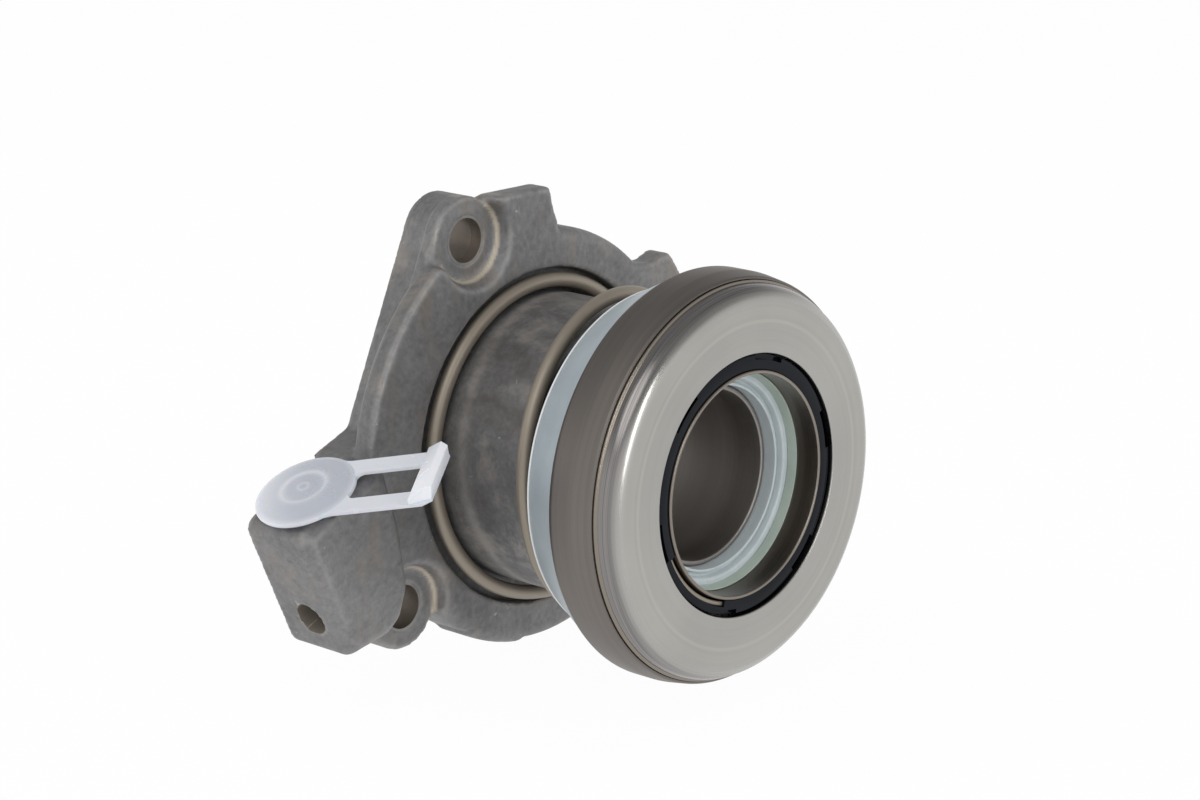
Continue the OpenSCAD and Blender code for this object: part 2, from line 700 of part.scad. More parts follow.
// Moulded plug: a shallow domed disc on a hollow stem, with a pull loop
module port_plug() {
    stem_r = port_r - 2 * run_gap;
    stem_len = 7.5;
    stem_wall = 1;
    dome = 0.9;
    window = loop_w / 2 - loop_arm_w;
    bar_cut = 1.4;
    color([0.86, 0.88, 0.90, 0.8]) installed() at_port() {
        rotate_extrude() polygon([
            [0, run_gap], [stem_r - stem_wall, run_gap], [stem_r - stem_wall, -stem_len],
            [stem_r - 0.4, -stem_len], [stem_r, 0.5 - stem_len], [stem_r, run_gap],
            [plug_disc_r, run_gap], [plug_disc_r, plug_t - 0.3], [plug_disc_r - 0.3, plug_t],
            [plug_disc_r * 0.5, plug_t + dome * 0.8], [plug_disc_r * 0.42, plug_t + dome * 0.4],
            [1.4, plug_t + dome * 0.4], [1.1, plug_t + dome], [0, plug_t + dome]
        ]);
        rotate([0, 0, loop_angle]) {
            difference() {
                translate([0, 0, run_gap + 0.1]) linear_extrude(plug_t - 0.2 - run_gap) polygon(rounded(
                    [[2, -loop_w / 2], [loop_reach, -loop_w / 2], [loop_reach, loop_w / 2], [2, loop_w / 2]],
                    [0, 2, 2, 0], 5));
                translate([0, 0, -over]) linear_extrude(plug_t + 2 * over) polygon(rounded(
                    [[plug_disc_r - over, -window], [loop_reach - loop_bar, -window],
                     [loop_reach - loop_bar, window], [plug_disc_r - over, window]],
                    [0, chamfer, chamfer, 0], 4));
                translate([0, 0, -over]) cylinder(r = plug_disc_r - over / 2, h = plug_t + 2 * over);
            }
            intersection() {
                translate([loop_reach - loop_bar, loop_w / 2, run_gap + 0.1]) rotate([90, 0, 0])
                    linear_extrude(loop_w) polygon([
                        [0, 0], [loop_bar - 0.8, 0], [loop_bar, 0.6], [loop_bar + 0.5, 2.5],
                        [loop_bar - 0.6, 2.7], [0.2, 1.5]
                    ]);
                linear_extrude(4) polygon([
                    [loop_reach - loop_bar - 1, -loop_w / 2], [loop_reach - bar_cut, -loop_w / 2],
                    [loop_reach + 0.6, bar_cut - loop_w / 2], [loop_reach + 0.6, loop_w / 2 - bar_cut],
                    [loop_reach - bar_cut, loop_w / 2], [loop_reach - loop_bar - 1, loop_w / 2]
                ]);
            }
        }
    }
}

housing();
guide_sleeve();
sleeve_o_ring();
face_o_ring();
stop_ring();
preload_spring();
piston();
piston_seal();
carrier_tube();
guide_ring();
wiper_ring();
fixed_race();
bearing_shell();
spring_seat();
retaining_ring();
snap_ring();
centring_washer();
contact_ring();
grease_seal();
ball_cage();
balls();
port_plug();
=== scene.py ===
import math
from contextlib import contextmanager
import bmesh
import bpy
import numpy as np
from mathutils import Matrix, Vector


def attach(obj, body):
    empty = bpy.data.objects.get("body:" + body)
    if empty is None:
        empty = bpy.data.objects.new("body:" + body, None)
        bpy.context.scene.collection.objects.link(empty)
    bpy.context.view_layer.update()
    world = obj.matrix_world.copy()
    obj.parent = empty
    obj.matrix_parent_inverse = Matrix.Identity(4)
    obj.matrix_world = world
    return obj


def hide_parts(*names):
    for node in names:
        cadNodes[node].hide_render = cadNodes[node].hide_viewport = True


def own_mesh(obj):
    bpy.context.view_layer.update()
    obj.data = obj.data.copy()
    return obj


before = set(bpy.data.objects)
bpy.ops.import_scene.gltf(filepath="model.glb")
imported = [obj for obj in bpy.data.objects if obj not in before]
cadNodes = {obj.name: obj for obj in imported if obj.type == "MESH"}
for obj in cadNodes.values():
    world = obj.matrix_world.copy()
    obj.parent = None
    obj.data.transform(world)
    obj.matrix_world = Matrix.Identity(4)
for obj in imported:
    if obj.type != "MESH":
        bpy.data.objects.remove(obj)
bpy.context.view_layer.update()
scene = bpy.context.scene
scene.view_settings.view_transform = "Standard"
mm = 0.001
print("frame loaded with", len(cadNodes), "nodes")


# Meshes and pieces

def rowPoint(x, y, z):  # z runs along the shaft, from the mounting face to the clutch
    return Vector((x, -z, y)) * mm


def polar(radius, degrees):
    turn = math.radians(degrees)
    return radius * math.cos(turn), radius * math.sin(turn)


@contextmanager
def editing(mesh):  # the mesh as a bmesh, written back at the end
    work = bmesh.new()
    work.from_mesh(mesh)
    yield work
    work.to_mesh(mesh)
    work.free()


def faceOutward(mesh):
    with editing(mesh) as work:
        bmesh.ops.recalc_face_normals(work, faces=work.faces)


def makeMesh(name, verts, faces):
    mesh = bpy.data.meshes.new(name)
    mesh.from_pydata(verts, [], faces)
    return mesh


def evaluatedMesh(holder):
    graph = bpy.context.evaluated_depsgraph_get()
    graph.update()
    return bpy.data.meshes.new_from_object(holder.evaluated_get(graph))


def addPiece(name, mesh):
    piece = bpy.data.objects.new(name, mesh)
    scene.collection.objects.link(piece)
    return piece


def bakePiece(piece):
    mesh = evaluatedMesh(piece)
    piece.modifiers.clear()
    piece.data = mesh


def copyOfNode(name, pieceName):
    piece = addPiece(pieceName, cadNodes[name].data.copy())
    with editing(piece.data) as work:
        bmesh.ops.remove_doubles(work, verts=work.verts, dist=2e-6)
    return piece


def smoothBelow(mesh, degrees):
    mesh.shade_smooth()
    mesh.set_sharp_from_angle(angle=math.radians(degrees))


def dress(piece, material, sharpAngle=None):
    piece.data.materials.clear()
    piece.data.materials.append(material)
    if sharpAngle is not None:
        smoothBelow(piece.data, sharpAngle)
    return piece


def standFor(piece, node, body):
    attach(piece, body)
    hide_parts(node)


# Node helpers

def feed(tree, value, socket):
    if isinstance(value, bpy.types.NodeSocket):
        tree.links.new(value, socket)
    else:
        socket.default_value = value


def reckon(tree, operation, a, b=0.0):
    node = tree.nodes.new("ShaderNodeMath")
    node.operation = operation
    feed(tree, a, node.inputs[0])
    feed(tree, b, node.inputs[1])
    return node.outputs[0]


def weighted(tree, *terms):  # the sum of each value times its share
    total = None
    for value, share in terms:
        part = reckon(tree, "MULTIPLY", value, share)
        total = part if total is None else reckon(tree, "ADD", total, part)
    return total


def remap(tree, value, low, high, toLow=0.0, toHigh=1.0, smooth=False):
    node = tree.nodes.new("ShaderNodeMapRange")
    node.interpolation_type = "SMOOTHSTEP" if smooth else "LINEAR"
    feed(tree, value, node.inputs["Value"])
    for label, number in (("From Min", low), ("From Max", high), ("To Min", toLow), ("To Max", toHigh)):
        feed(tree, number, node.inputs[label])
    return node.outputs["Result"]


def blendColour(tree, share, a, b):
    node = tree.nodes.new("ShaderNodeMix")
    node.data_type = "RGBA"
    feed(tree, share, node.inputs[0])
    feed(tree, a if isinstance(a, bpy.types.NodeSocket) else (*a, 1.0), node.inputs[6])
    feed(tree, b if isinstance(b, bpy.types.NodeSocket) else (*b, 1.0), node.inputs[7])
    return node.outputs[2]


def blendShaders(tree, share, a, b):
    node = tree.nodes.new("ShaderNodeMixShader")
    tree.links.new(share, node.inputs[0])
    tree.links.new(a.outputs[0], node.inputs[1])
    tree.links.new(b.outputs[0], node.inputs[2])
    return node.outputs[0]


def noise(tree, vector, scale, detail=4.0, roughness=0.55, distortion=0.0):
    node = tree.nodes.new("ShaderNodeTexNoise")
    feed(tree, vector, node.inputs["Vector"])
    feed(tree, scale, node.inputs["Scale"])
    node.inputs["Detail"].default_value = detail
    node.inputs["Roughness"].default_value = roughness
    node.inputs["Distortion"].default_value = distortion
    return node.outputs["Fac"]


def stretched(tree, vector, scale, turn):
    node = tree.nodes.new("ShaderNodeMapping")
    feed(tree, vector, node.inputs["Vector"])
    node.inputs["Rotation"].default_value = turn
    node.inputs["Scale"].default_value = scale
    return node.outputs[0]


def objectCoords(tree):
    return tree.nodes.new("ShaderNodeTexCoord").outputs["Object"]


def splitCoords(tree):
    split = tree.nodes.new("ShaderNodeSeparateXYZ")
    tree.links.new(objectCoords(tree), split.inputs[0])
    return split.outputs


def shaftRadius(tree, axes):
    square = reckon(tree, "ADD", reckon(tree, "MULTIPLY", axes[0], axes[0]),
                    reckon(tree, "MULTIPLY", axes[2], axes[2]))
    return reckon(tree, "SQRT", square)


def heightAlongShaft(tree):
    return reckon(tree, "MULTIPLY", splitCoords(tree)[1], -1.0)


def ownMask(tree, name):
    node = tree.nodes.new("ShaderNodeAttribute")
    node.attribute_name = name
    return node.outputs["Fac"]


def addBump(tree, shader, height, strength, distance):
    node = tree.nodes.new("ShaderNodeBump")
    node.inputs["Strength"].default_value = strength
    node.inputs["Distance"].default_value = distance
    tree.links.new(height, node.inputs["Height"])
    tree.links.new(node.outputs[0], shader.inputs["Normal"])


# Camera, light and floor

cameraView = {
    "lens": 99.0,
    "sensor": 36.0,
    "place": (-0.3485, -0.33855, 0.1317),
    "right": (0.67423, -0.73852, 0.0),
    "up": (0.18785, 0.17150, 0.96711),
    "ahead": (0.71423, 0.65205, -0.25436),
}


def makeCamera(view):
    lens = bpy.data.cameras.new("photoCamera")
    lens.lens = view["lens"]
    lens.sensor_width = view["sensor"]
    lens.clip_start = 0.01
    camera = bpy.data.objects.new("photoCamera", lens)
    scene.collection.objects.link(camera)
    right, up, ahead, place = (Vector(view[k]) for k in ("right", "up", "ahead", "place"))
    rows = [[right[i], up[i], -ahead[i], place[i]] for i in range(3)]
    camera.matrix_world = Matrix(rows + [[0, 0, 0, 1]])
    scene.camera = camera


studio = {
    "softLight": 0.60,
    "ceiling": 0.40, "ceilingFade": (0.12, 0.62),
    "floorZ": -0.0335, "floorSide": 3.0, "paper": (0.86, 0.86, 0.86, 1),
    "floorShow": 0.97, "floorGlow": 0.85,
    "aim": (0, -0.025, 0),
    "lamps": [  # name, place, width, height, power, colour, seen in metal
        ("keyBox", (-0.75, -0.30, 0.80), 0.90, 0.90, 3.2, (1.0, 0.985, 0.96), True),
        ("frontBox", (0.25, -0.95, 0.45), 0.80, 0.80, 2.0, (1.0, 1.0, 1.0), False),
        ("frontStrip", (-0.08, -0.90, 0.16), 0.14, 0.62, 1.5, (1.0, 1.0, 1.0), True),
        ("backStrip", (-0.55, 0.75, 0.35), 0.45, 0.45, 2.6, (0.97, 0.985, 1.0), False),
    ],
}


def viewRays(tree):  # 1 for rays that should see the white surroundings
    path = tree.nodes.new("ShaderNodeLightPath").outputs
    first = reckon(tree, "MAXIMUM", path["Is Camera Ray"], path["Is Glossy Ray"])
    return reckon(tree, "MAXIMUM", first, path["Is Transmission Ray"])


def makeWorld(setup):
    world = bpy.data.worlds.new("studioWorld")
    scene.world = world
    world.use_nodes = True
    tree = world.node_tree
    tree.nodes.clear()
    coords = tree.nodes.new("ShaderNodeTexCoord")
    split = tree.nodes.new("ShaderNodeSeparateXYZ")
    tree.links.new(coords.outputs["Generated"], split.inputs[0])
    fade = remap(tree, split.outputs["Z"], *setup["ceilingFade"], 1.0, setup["ceiling"], True)
    shown = tree.nodes.new("ShaderNodeBackground")
    tree.links.new(fade, shown.inputs["Color"])
    soft = tree.nodes.new("ShaderNodeBackground")
    soft.inputs["Color"].default_value = (1, 1, 1, 1)
    soft.inputs["Strength"].default_value = setup["softLight"]
    out = tree.nodes.new("ShaderNodeOutputWorld")
    tree.links.new(blendShaders(tree, viewRays(tree), soft, shown), out.inputs[0])


def makeLamps(setup):
    for name, place, width, tall, power, colour, seen in setup["lamps"]:
        lamp = bpy.data.lights.new(name, "AREA")
        lamp.shape = "ELLIPSE"
        lamp.size = width
        lamp.size_y = tall
        lamp.energy = power
        lamp.color = colour
        holder = bpy.data.objects.new(name, lamp)
        holder.location = place
        holder.visible_glossy = seen
        way = Vector(setup["aim"]) - Vector(place)
        holder.rotation_euler = way.to_track_quat("-Z", "Y").to_euler()
        scene.collection.objects.link(holder)


def makeFloor(setup):
    side = setup["floorSide"]
    corners = [(-side, -side), (side, -side), (side, side), (-side, side)]
    mesh = makeMesh("floorSheet", [(x, y, setup["floorZ"]) for x, y in corners], [(0, 1, 2, 3)])
    floor = addPiece("floorSheet", mesh)
    material = bpy.data.materials.new("paleFloor")
    material.use_nodes = True
    tree = material.node_tree
    tree.nodes.clear()
    paper = tree.nodes.new("ShaderNodeBsdfDiffuse")
    paper.inputs["Color"].default_value = setup["paper"]
    glow = tree.nodes.new("ShaderNodeEmission")
    share = remap(tree, viewRays(tree), 0.0, 1.0, setup["floorGlow"], setup["floorShow"])
    out = tree.nodes.new("ShaderNodeOutputMaterial")
    tree.links.new(blendShaders(tree, share, paper, glow), out.inputs[0])
    floor.data.materials.append(material)


makeCamera(cameraView)
makeWorld(studio)
makeLamps(studio)
makeFloor(studio)
print("camera, lamps and floor placed")


# Shader groups shared by the finishes

def newGroup(name, inputs, outputs):
    tree = bpy.data.node_groups.new(name, "ShaderNodeTree")
    for label, value in inputs:
        socket = tree.interface.new_socket(label, in_out="INPUT", socket_type="NodeSocketFloat")
        socket.default_value = value
    for label in outputs:
        tree.interface.new_socket(label, in_out="OUTPUT", socket_type="NodeSocketFloat")
    start = tree.nodes.new("NodeGroupInput").outputs
    end = tree.nodes.new("NodeGroupOutput").inputs
    return tree, start, end


def makeTurnedMarks():  # fine rings round the shaft axis, as a lathe or a press leaves them
    tree, start, end = newGroup(
        "turnedMarks", [("Lines", 2600.0), ("Bands", 260.0)], ["Fine", "Band", "Drift"])
    axes = splitCoords(tree)
    join = tree.nodes.new("ShaderNodeCombineXYZ")
    tree.links.new(shaftRadius(tree, axes), join.inputs[0])
    tree.links.new(axes[1], join.inputs[1])
    tree.links.new(reckon(tree, "MULTIPLY", axes[0], 0.012), join.inputs[2])
    tree.links.new(noise(tree, join.outputs[0], start["Lines"], 3.0, 0.6), end["Fine"])
    tree.links.new(noise(tree, join.outputs[0], start["Bands"], 2.0, 0.5), end["Band"])
    tree.links.new(noise(tree, objectCoords(tree), 38.0, 4.0, 0.5), end["Drift"])
    return tree


def makeCastSkin():  # blotches, smears, grain and specks of a raw casting
    tree, start, end = newGroup(
        "castSkin", [("Blotch Scale", 75.0), ("Grain Scale", 1500.0)],
        ["Blotch", "Mottle", "Smear", "Grain", "Speck"])
    coords = objectCoords(tree)
    tree.links.new(noise(tree, coords, start["Blotch Scale"], 9.0, 0.64, 0.2), end["Blotch"])
    tree.links.new(noise(tree, coords, 760.0, 5.0, 0.66, 0.3), end["Mottle"])
    along = stretched(tree, coords, (1.0, 0.45, 0.30), (0.0, math.radians(18), 0.0))
    tree.links.new(noise(tree, along, 210.0, 7.0, 0.66, 0.3), end["Smear"])
    tree.links.new(noise(tree, coords, start["Grain Scale"], 4.0, 0.6), end["Grain"])
    tree.links.new(remap(tree, noise(tree, coords, 620.0, 2.0, 0.5), 0.735, 0.78), end["Speck"])
    return tree


turnedMarks = makeTurnedMarks()
castSkin = makeCastSkin()


# Finishes

def newFinish(name, **plain):
    material = bpy.data.materials.new(name)
    material.use_nodes = True
    tree = material.node_tree
    shader = tree.nodes["Principled BSDF"]
    for label, value in plain.items():
        shader.inputs[label.replace("_", " ")].default_value = value
    return material, tree, shader


def placeGroup(tree, group, **values):
    node = tree.nodes.new("ShaderNodeGroup")
    node.node_tree = group
    for label, value in values.items():
        node.inputs[label.replace("_", " ")].default_value = value
    return node.outputs


castLook = {
    "dark": (0.140, 0.140, 0.146), "mid": (0.245, 0.243, 0.245), "warm": (0.250, 0.216, 0.176),
    # fillet is a painted highlight, used along the spotface foot and inside the bleed hole
    "rubbed": (0.38, 0.37, 0.355), "fillet": (0.62, 0.55, 0.44), "machined": (0.165, 0.138, 0.114),
    "stain": (0.100, 0.088, 0.076), "paleRub": (0.42, 0.40, 0.38), "speck": (0.50, 0.51, 0.53),
    "seamZ": 0.0044, "seamEdge": (0.00006, 0.00022), "edgeReach": (0.02, 0.10),
}


def rubbedEdges(tree, reach):  # bright rubbed edges, from the mesh's own edgeMask
    broken = remap(tree, noise(tree, objectCoords(tree), 260.0, 5.0, 0.6), 0.32, 0.66)
    worn = remap(tree, ownMask(tree, "edgeMask"), *reach, smooth=True)
    return reckon(tree, "MULTIPLY", worn, broken)


def makeCastFinish(look):
    material, tree, shader = newFinish("castAluminium", Metallic=0.55)
    skin = placeGroup(tree, castSkin)
    smear = skin["Smear"]
    wall = ownMask(tree, "cylinderWall")
    outer = ownMask(tree, "outerWall")
    cut = ownMask(tree, "machined")
    worn = reckon(tree, "MAXIMUM", wall, reckon(tree, "MULTIPLY", outer, 0.8))
    seam = reckon(tree, "ABSOLUTE", reckon(tree, "SUBTRACT", heightAlongShaft(tree), look["seamZ"]))
    seam = reckon(tree, "MULTIPLY", remap(tree, seam, *look["seamEdge"], 1.0, 0.0, True), outer)
    cloud = weighted(tree, (skin["Blotch"], 0.40), (skin["Mottle"], 0.35), (skin["Grain"], 0.25))
    base = blendColour(tree, remap(tree, cloud, 0.38, 0.60), look["dark"], look["mid"])
    base = blendColour(tree, remap(tree, smear, 0.50, 0.70, 0.0, 0.60), base, look["warm"])
    for mask, broken, colour in (
        (ownMask(tree, "stained"), remap(tree, smear, 0.36, 0.58, 0.35, 1.0), "stain"),
        (wall, remap(tree, smear, 0.36, 0.54, 0.6, 0.0), "stain"),
        (worn, remap(tree, smear, 0.52, 0.68, 0.0, 0.5), "paleRub"),
        (ownMask(tree, "wallBand"), remap(tree, smear, 0.34, 0.56, 0.35, 1.0), "paleRub"),
        (seam, 0.3, "rubbed"),
        # painted highlight: a bright line round each spotface foot, and the bleed hole painted paler
        (ownMask(tree, "footAndBleedHighlight"), 1.0, "fillet"),
        (rubbedEdges(tree, look["edgeReach"]), 0.45, "rubbed"),
        (skin["Speck"], 0.55, "speck"),
        (cut, 1.0, "machined"),
    ):
        base = blendColour(tree, reckon(tree, "MULTIPLY", mask, broken), base, look[colour])
    tree.links.new(base, shader.inputs["Base Color"])
    rough = remap(tree, smear, 0.3, 0.7, 0.62, 0.46)
    rough = reckon(tree, "SUBTRACT", rough, reckon(tree, "MULTIPLY", cut, 0.12))
    tree.links.new(rough, shader.inputs["Roughness"])
    height = weighted(tree, (skin["Grain"], 0.5), (skin["Mottle"], 0.6), (seam, 0.8))
    addBump(tree, shader, height, 0.3, 0.00014)
    return material


def makeTurnedFinish(name, dark, light, metallic, roughLow, roughHigh, bump=0.2, lines=2600.0, bands=260.0):
    material, tree, shader = newFinish(name, Metallic=metallic)
    marks = placeGroup(tree, turnedMarks, Lines=lines, Bands=bands)
    tone = weighted(tree, (marks["Fine"], 0.35), (marks["Band"], 0.40), (marks["Drift"], 0.25))
    tree.links.new(blendColour(tree, remap(tree, tone, 0.36, 0.64), dark, light), shader.inputs["Base Color"])
    tree.links.new(remap(tree, marks["Band"], 0.3, 0.7, roughLow, roughHigh), shader.inputs["Roughness"])
    addBump(tree, shader, marks["Fine"], bump, 0.00004)
    return material


contactLook = {  # heights and radii in metres
    "faceDark": (0.358, 0.352, 0.332), "faceLight": (0.426, 0.420, 0.396), "ringLine": (0.52, 0.52, 0.455),
    # the rolled edge colours are painted shade: a painted dark reflection, streaked lighter along the
    # brushing
    "paintedRollShade": (0.165, 0.157, 0.158), "paintedRollShadeLight": (0.285, 0.272, 0.266), "collar": (0.250, 0.222, 0.190),
    "lines": ((0.02390, 0.00014, 0.26), (0.02530, 0.00030, 0.10)),  # radius, width, share
    "paintedRollFade": (0.0489, 0.0478), "collarFade": (0.0466, 0.0461), "glossFade": (0.0491, 0.0488),
    "faceRough": 0.36, "rollRough": 0.24,
}


def makeContactFinish(look):
    material, tree, shader = newFinish("groundSteel", Metallic=1.0)
    marks = placeGroup(tree, turnedMarks, Lines=3000.0, Bands=420.0)
    radius = shaftRadius(tree, splitCoords(tree))
    height = heightAlongShaft(tree)
    tone = weighted(tree, (marks["Fine"], 0.20), (marks["Band"], 0.15), (marks["Drift"], 0.65))
    base = blendColour(tree, remap(tree, tone, 0.36, 0.64), look["faceDark"], look["faceLight"])
    for place, width, share in look["lines"]:
        away = reckon(tree, "ABSOLUTE", reckon(tree, "SUBTRACT", radius, place))
        line = remap(tree, away, width, width * 2.6, share, 0.0, True)
        base = blendColour(tree, line, base, look["ringLine"])
    # the rolled edge is painted darker, a painted dark reflection with brushed streaks
    paintedRollReflection = blendColour(tree, remap(tree, marks["Fine"], 0.38, 0.62), look["paintedRollShade"], look["paintedRollShadeLight"])
    base = blendColour(tree, remap(tree, height, *look["paintedRollFade"], smooth=True), base, paintedRollReflection)
    base = blendColour(tree, remap(tree, height, *look["collarFade"], smooth=True), base, look["collar"])
    tree.links.new(base, shader.inputs["Base Color"])
    drift = remap(tree, marks["Drift"], 0.3, 0.7, -0.04, 0.04)
    rough = remap(tree, height, *look["glossFade"], look["faceRough"], look["rollRough"])
    tree.links.new(reckon(tree, "ADD", drift, rough), shader.inputs["Roughness"])
    addBump(tree, shader, marks["Fine"], 0.08, 0.00004)
    return material


def mouldedBase(tree, shader, dark, light, roughLow, roughHigh, bump, blotch=120.0):
    marks = placeGroup(tree, castSkin, Blotch_Scale=blotch, Grain_Scale=2200.0)
    tree.links.new(remap(tree, marks["Smear"], 0.3, 0.7, roughLow, roughHigh), shader.inputs["Roughness"])
    addBump(tree, shader, marks["Grain"], bump, 0.00005)
    return blendColour(tree, remap(tree, marks["Blotch"], 0.35, 0.65), dark, light)


def makeMouldedFinish(name, dark, light, rough, bump=0.15, **plain):
    material, tree, shader = newFinish(name, **plain)
    base = mouldedBase(tree, shader, dark, light, rough - 0.05, rough + 0.08, bump)
    tree.links.new(base, shader.inputs["Base Color"])
    return material


seatLook = {
    # the rear rim colour is a painted highlight
    "dark": (0.300, 0.345, 0.372), "light": (0.345, 0.392, 0.420), "rim": (0.72, 0.74, 0.75),
    "rimHighlightFade": (0.03056, 0.03050),
}


def makeSeatFinish(look):  # pale moulding with its rear rim painted whiter, a painted highlight
    material, tree, shader = newFinish("paleSeat")
    base = mouldedBase(tree, shader, look["dark"], look["light"], 0.35, 0.48, 0.08)
    # painted highlight: the rear rim is painted near white
    rim = remap(tree, heightAlongShaft(tree), *look["rimHighlightFade"])
    tree.links.new(blendColour(tree, rim, base, look["rim"]), shader.inputs["Base Color"])
    return material


plugLook = {"dark": (0.47, 0.495, 0.56), "light": (0.52, 0.545, 0.61), "milkAndPaintedLight": (0.84, 0.86, 0.91)}


def makePlugFinish(look):  # milky plastic, paler along the thin loop and the thicker rings, and painted paler on one side of the disc as painted light
    material, tree, shader = newFinish("milkyPlug", Subsurface_Weight=0.15, Subsurface_Scale=0.001,
                                       Transmission_Weight=0.12, IOR=1.5)
    base = mouldedBase(tree, shader, look["dark"], look["light"], 0.20, 0.30, 0.03, 60.0)
    base = blendColour(tree, ownMask(tree, "milkAndPaintedLight"), base, look["milkAndPaintedLight"])
    tree.links.new(base, shader.inputs["Base Color"])
    return material


castAluminium = makeCastFinish(castLook)
contactSteel = makeContactFinish(contactLook)
shellSteel = makeTurnedFinish(
    "brownShell", (0.166, 0.150, 0.138), (0.212, 0.194, 0.180), 1.0, 0.46, 0.54, 0.15)
tubeSteel = makeTurnedFinish("drawnTube", (0.210, 0.184, 0.158), (0.300, 0.266, 0.232), 1.0, 0.30, 0.42)
sleeveSteel = makeTurnedFinish("sleeveSteel", (0.29, 0.27, 0.255), (0.36, 0.338, 0.32), 1.0, 0.42, 0.52)
bearingSteel = makeTurnedFinish("bearingSteel", (0.42, 0.41, 0.39), (0.52, 0.51, 0.49), 1.0, 0.18, 0.30)
wireSteel = makeTurnedFinish(
    "oiledWire", (0.260, 0.226, 0.184), (0.345, 0.304, 0.250), 0.6, 0.40, 0.52, 0.15, 900.0, 140.0)
seatPlastic = makeSeatFinish(seatLook)
ringPlastic = makeMouldedFinish("whiteRing", (0.46, 0.52, 0.54), (0.54, 0.60, 0.62), 0.30, 0.06)
wiperPlastic = makeMouldedFinish("greenWiper", (0.33, 0.40, 0.355), (0.40, 0.47, 0.42), 0.36, 0.08)
blackPlastic = makeMouldedFinish(
    "blackRing", (0.002, 0.003, 0.005), (0.004, 0.006, 0.010), 0.10, 0.04, Specular_IOR_Level=0.12)
darkPlastic = makeMouldedFinish("darkPiston", (0.045, 0.045, 0.048), (0.065, 0.065, 0.070), 0.42)
cagePlastic = makeMouldedFinish("brownCage", (0.24, 0.15, 0.05), (0.30, 0.19, 0.07), 0.42)
sealRubber = makeMouldedFinish("sealRubber", (0.010, 0.010, 0.011), (0.020, 0.020, 0.021), 0.58)
plugPlastic = makePlugFinish(plugLook)
print("finishes ready")


# Turned pieces: outlines as (radius, height, corner rounding) in millimetres

def roundOutline(points, steps=5):
    made = []
    for i, (r, z, fillet) in enumerate(points):
        b = Vector((r, z))
        if fillet <= 0:
            made.append(b)
            continue
        a = Vector(points[i - 1][:2]) - b
        c = Vector(points[(i + 1) % len(points)][:2]) - b
        a.normalize()
        c.normalize()
        half = a.angle(c) / 2
        middle = b + (a + c).normalized() * (fillet / math.sin(half))
        first = b + a * (fillet / math.tan(half)) - middle
        last = b + c * (fillet / math.tan(half)) - middle
        sweep = first.angle_signed(last)
        for k in range(steps + 1):
            turn = -sweep * k / steps
            made.append(middle + Matrix.Rotation(turn, 2) @ first)
    return made


def turnPiece(name, points, turns=224):
    outline = roundOutline(points)
    count = len(outline)
    verts = []
    for k in range(turns):
        a = 2 * math.pi * k / turns
        verts += [(p.x * math.cos(a) * mm, -p.y * mm, p.x * math.sin(a) * mm) for p in outline]
    faces = []
    for k in range(turns):
        n = (k + 1) % turns
        faces += [(k * count + i, k * count + (i + 1) % count, n * count + (i + 1) % count, n * count + i)
                  for i in range(count)]
    mesh = makeMesh(name, verts, faces)
    faceOutward(mesh)
    return addPiece(name, mesh)


contactRing = {
    "outline": [
        (26.0, 41.1, 0.2), (29.05, 41.1, 0.2), (29.05, 44.0, 0.1), (29.3, 44.4, 0.1), (29.3, 46.05, 0.12),
        (28.98, 46.16, 0.08), (28.92, 46.26, 0.05), (28.92, 49.2, 2.9),
        (19.24, 49.2, 0.22), (19.24, 46.7, 0.2),
        (23.5, 46.7, 0.0), (24.46, 46.51, 0.0), (25.27, 45.97, 0.0), (25.81, 45.16, 0.0), (26.0, 44.2, 0.0)],
}
bearingShell = {
    "outline": [
        (22.6, 37.8, 0.15), (29.6, 37.8, 0.25), (30.25, 38.7, 0.9), (30.25, 42.6, 6.0), (29.78, 45.5, 0.5),
        (29.58, 45.75, 0.08), (29.37, 45.75, 0.04), (29.37, 39.2, 0.3), (22.6, 39.2, 0.15)],
}
springSeat = {
    "outline": [
        (22.6, 30.8, 0.1), (25.19, 30.8, 0.2), (25.19, 30.15, 0.1), (26.0, 30.15, 0.12), (26.02, 30.48, 0.05),
        (25.86, 30.56, 0.03), (25.86, 30.66, 0.03), (26.12, 30.8, 0.08), (29.6, 37.8, 0.1), (28.7, 37.8, 0.1),
        (25.19, 32.0, 0.3), (22.6, 32.0, 0.1)],
}
carrierTube = {
    "outline": [
        (16.2, 23.95, 0.1), (17.0, 23.95, 0.1), (17.0, 39.9, 0.3), (21.9, 39.9, 0.1), (21.9, 41.1, 0.1),
        (17.0, 41.1, 0.3), (17.0, 47.1, 0.1), (16.74, 47.5, 0.1), (16.74, 48.9, 0.24), (16.2, 48.9, 0.2)],
}
guideRing = {
    "outline": [
        (13.5, 38.0, 0.1), (16.15, 38.0, 0.1), (16.15, 43.5, 0.08), (14.72, 43.5, 0.4), (14.55, 42.3, 0.12),
        (13.95, 42.3, 0.12), (13.95, 42.9, 0.12), (13.5, 42.9, 0.12)],
}
wiperRing = {
    "outline": [(15.55, 43.55, 0.06), (16.15, 43.55, 0.06), (16.15, 44.9, 0.05), (15.95, 44.9, 0.06)],
}
guideSleeve = {
    "outline": [
        (12.6, 0.05, 0.15), (15.8, 0.05, 0.2), (15.8, 1.2, 0.2), (13.4, 1.2, 0.3), (13.4, 41.0, 0.3),
        (12.6, 41.0, 0.25)],
}

